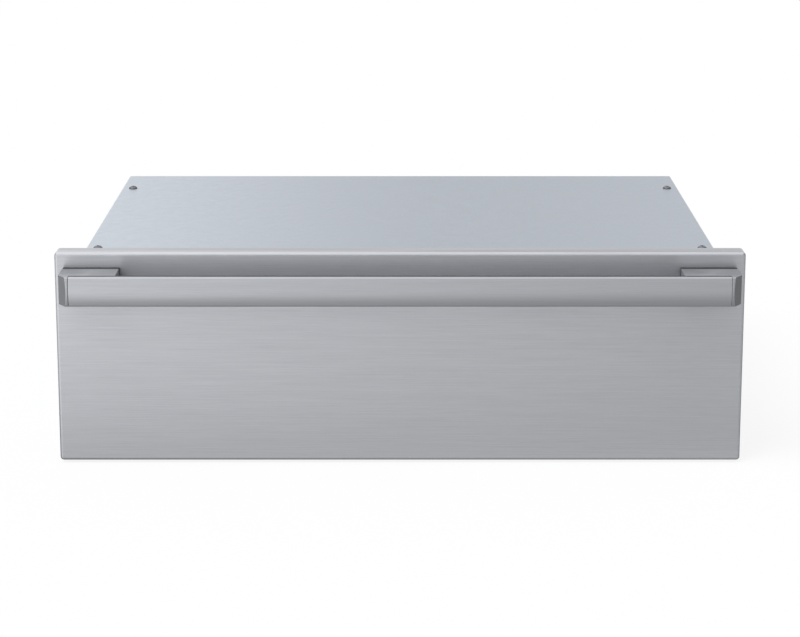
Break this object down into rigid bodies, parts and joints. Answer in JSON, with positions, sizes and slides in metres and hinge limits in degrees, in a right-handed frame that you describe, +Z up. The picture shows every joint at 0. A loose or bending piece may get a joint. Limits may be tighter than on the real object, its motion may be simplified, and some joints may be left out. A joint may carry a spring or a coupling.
{
  "type": "built-in warming drawer",
  "caption": "Wide low warming drawer for a kitchen cut-out: steel cabinet, heated pan on telescopic slides, flat steel front with a full-width bar handle.",
  "frame": {"origin": "middle of the footprint, on the plane that the cabinet's floor stands on", "axes": "+X to the right of a person facing the drawer, +Y back into the cut-out, +Z up"},
  "size_m": [0.759, 0.6625, 0.24],
  "materials": {
    "stainless": "brushed",
    "pan_steel": "satin",
    "liner_steel": "satin",
    "zinc_sheet": "satin",
    "slide_steel": "satin",
    "cage_steel": "satin",
    "screw_steel": "satin",
    "element_sheath": "matte",
    "fibre": "matte",
    "gasket_rubber": "matte",
    "black_plastic": "satin",
    "lever_plastic": "satin",
    "smoked_lens": "gloss",
    "button_plastic": "satin",
    "circuit_board": "satin",
    "ceramic": "satin",
    "harness_sleeve": "matte"
  },
  "bodies": {
    "cabinet": {"base_pan": "zinc_sheet", "back_panel": "zinc_sheet", "top_cover": "zinc_sheet", "left_side_panel": "zinc_sheet", "right_side_panel": "zinc_sheet", "front_frame": "liner_steel", "chamber_liner": "liner_steel", "heating_element": "element_sheath", "element_clip_left": "liner_steel", "element_clip_right": "liner_steel", "element_clip_middle": "liner_steel", "temperature_sensor": "screw_steel", "high_limit_cutout": "black_plastic", "power_board": "circuit_board", "terminal_block": "ceramic", "cord_gland": "black_plastic", "wiring_harness": "harness_sleeve", "insulation_base": "fibre", "insulation_top": "fibre", "insulation_back": "fibre", "insulation_left": "fibre", "insulation_right": "fibre", "lid_screw_front_left": "screw_steel", "lid_screw_front_right": "screw_steel", "lid_screw_rear_left": "screw_steel", "lid_screw_rear_right": "screw_steel", "left_outer_rail": "slide_steel", "right_outer_rail": "slide_steel", "control_fascia": "black_plastic", "display_lens": "smoked_lens", "ui_board": "circuit_board"},
    "drawer": {"front_skin": "stainless", "front_inner_panel": "liner_steel", "front_insulation": "fibre", "drawer_gasket": "gasket_rubber", "left_bumper": "gasket_rubber", "right_bumper": "gasket_rubber", "handle_bar": "stainless", "left_handle_end": "stainless", "right_handle_end": "stainless", "drawer_pan": "pan_steel", "rack": "screw_steel", "left_pan_bracket": "slide_steel", "right_pan_bracket": "slide_steel", "left_inner_rail": "slide_steel", "right_inner_rail": "slide_steel"},
    "left_outer_cage": {"left_outer_cage": "cage_steel"},
    "right_outer_cage": {"right_outer_cage": "cage_steel"},
    "left_middle_rail": {"left_middle_rail": "slide_steel"},
    "right_middle_rail": {"right_middle_rail": "slide_steel"},
    "left_inner_cage": {"left_inner_cage": "cage_steel"},
    "right_inner_cage": {"right_inner_cage": "cage_steel"},
    "left_release_lever": {"left_release_lever": "lever_plastic"},
    "right_release_lever": {"right_release_lever": "lever_plastic"},
    "vent_slider": {"vent_slider": "black_plastic"},
    "power_button": {"power_button": "button_plastic"},
    "temp_down_button": {"temp_down_button": "button_plastic"},
    "temp_up_button": {"temp_up_button": "button_plastic"},
    "timer_button": {"timer_button": "button_plastic"},
    "start_button": {"start_button": "button_plastic"}
  },
  "joints": [
    {"name": "drawer_slide", "type": "slide", "parent": "cabinet", "child": "drawer", "axis": [0, -1, 0], "range_m": [0, 0.45]},
    {"name": "left_middle_rail_slide", "type": "slide", "parent": "cabinet", "child": "left_middle_rail", "axis": [0, -1, 0], "range_m": [0, 0.225]},
    {"name": "right_middle_rail_slide", "type": "slide", "parent": "cabinet", "child": "right_middle_rail", "axis": [0, -1, 0], "range_m": [0, 0.225]},
    {"name": "left_outer_cage_slide", "type": "slide", "parent": "cabinet", "child": "left_outer_cage", "axis": [0, -1, 0], "range_m": [0, 0.1125]},
    {"name": "right_outer_cage_slide", "type": "slide", "parent": "cabinet", "child": "right_outer_cage", "axis": [0, -1, 0], "range_m": [0, 0.1125]},
    {"name": "left_inner_cage_slide", "type": "slide", "parent": "cabinet", "child": "left_inner_cage", "axis": [0, -1, 0], "range_m": [0, 0.3375]},
    {"name": "right_inner_cage_slide", "type": "slide", "parent": "cabinet", "child": "right_inner_cage", "axis": [0, -1, 0], "range_m": [0, 0.3375]},
    {"name": "left_release_lever_pivot", "type": "hinge", "parent": "drawer", "child": "left_release_lever", "pos_m": [-0.32335, -0.13675, 0.097], "axis": [1, 0, 0], "range_deg": [0, 8], "stiffness_Nm_per_rad": 0.05, "springref_deg": -11.46},
    {"name": "right_release_lever_pivot", "type": "hinge", "parent": "drawer", "child": "right_release_lever", "pos_m": [0.32335, -0.13675, 0.097], "axis": [1, 0, 0], "range_deg": [0, 8], "stiffness_Nm_per_rad": 0.05, "springref_deg": -11.46},
    {"name": "vent_slide", "type": "slide", "parent": "drawer", "child": "vent_slider", "axis": [1, 0, 0], "range_m": [0, 0.01]},
    {"name": "power_button_press", "type": "slide", "parent": "cabinet", "child": "power_button", "axis": [0, 1, 0], "range_m": [0, 0.0012], "stiffness_N_per_m": 400, "springref_m": -0.003},
    {"name": "temp_down_button_press", "type": "slide", "parent": "cabinet", "child": "temp_down_button", "axis": [0, 1, 0], "range_m": [0, 0.0012], "stiffness_N_per_m": 400, "springref_m": -0.003},
    {"name": "temp_up_button_press", "type": "slide", "parent": "cabinet", "child": "temp_up_button", "axis": [0, 1, 0], "range_m": [0, 0.0012], "stiffness_N_per_m": 400, "springref_m": -0.003},
    {"name": "timer_button_press", "type": "slide", "parent": "cabinet", "child": "timer_button", "axis": [0, 1, 0], "range_m": [0, 0.0012], "stiffness_N_per_m": 400, "springref_m": -0.003},
    {"name": "start_button_press", "type": "slide", "parent": "cabinet", "child": "start_button", "axis": [0, 1, 0], "range_m": [0, 0.0012], "stiffness_N_per_m": 400, "springref_m": -0.003}
  ],
  "couplings": [
    {"joint": "left_middle_rail_slide", "follows": "drawer_slide", "ratio": 0.5},
    {"joint": "right_middle_rail_slide", "follows": "drawer_slide", "ratio": 0.5},
    {"joint": "left_outer_cage_slide", "follows": "drawer_slide", "ratio": 0.25},
    {"joint": "right_outer_cage_slide", "follows": "drawer_slide", "ratio": 0.25},
    {"joint": "left_inner_cage_slide", "follows": "drawer_slide", "ratio": 0.75},
    {"joint": "right_inner_cage_slide", "follows": "drawer_slide", "ratio": 0.75}
  ]
}
